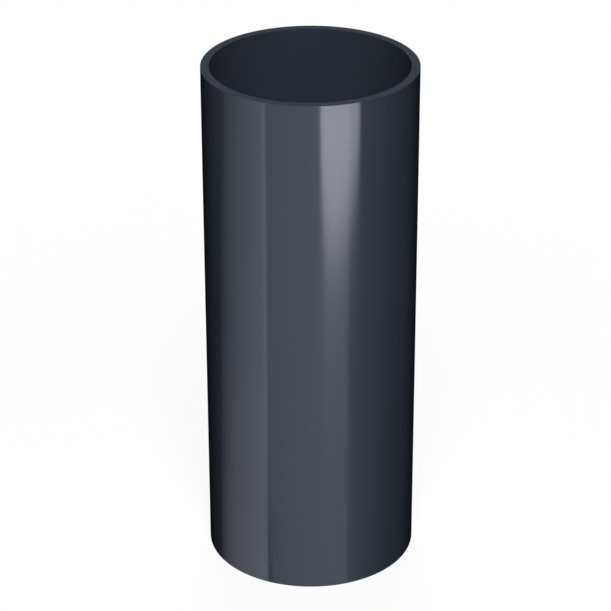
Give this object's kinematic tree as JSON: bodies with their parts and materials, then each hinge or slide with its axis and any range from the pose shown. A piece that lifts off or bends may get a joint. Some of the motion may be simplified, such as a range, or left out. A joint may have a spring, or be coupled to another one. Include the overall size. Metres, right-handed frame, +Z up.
{
  "type": "downpipe",
  "caption": "Short straight length of round plastic downpipe with an open bore and plain square-cut ends, for carrying rainwater down from a roof gutter.",
  "frame": {"origin": "centre of the lower cut face, on the pipe's axis", "axes": "+Z up along the pipe's axis; the section is round, so X and Y are any two directions square to it"},
  "size_m": [0.08, 0.08, 0.199],
  "materials": {
    "anthracite_plastic": "satin gloss extruded rigid plastic, solid colour right through the wall, sawn matt on the cut ends"
  },
  "bodies": {
    "root": {"downpipe": "anthracite_plastic"}
  },
  "joints": []
}
